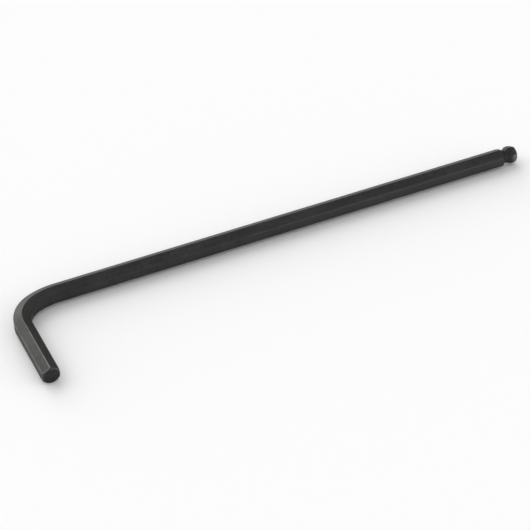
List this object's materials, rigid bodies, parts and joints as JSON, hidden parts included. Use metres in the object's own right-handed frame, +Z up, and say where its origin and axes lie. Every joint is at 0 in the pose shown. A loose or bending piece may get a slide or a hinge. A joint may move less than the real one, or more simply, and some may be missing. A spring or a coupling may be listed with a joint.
{
  "type": "ball-end hex key",
  "caption": "L-shaped hex key of black steel, bent from hexagonal bar, with a chamfered short end and a long arm that ends in a turned neck and a ball.",
  "frame": {"origin": "middle of the space that the key fills, on the surface that it lies on", "axes": "+X along the long arm towards its ball, -Y along the short arm towards its end face, +Z up from the surface that the key lies on"},
  "size_m": [0.165, 0.0338, 0.0057],
  "materials": {
    "black_steel": "black oxide, satin, with the ridges a little lighter"
  },
  "bodies": {
    "root": {"hex_key": "black_steel"}
  },
  "joints": []
}
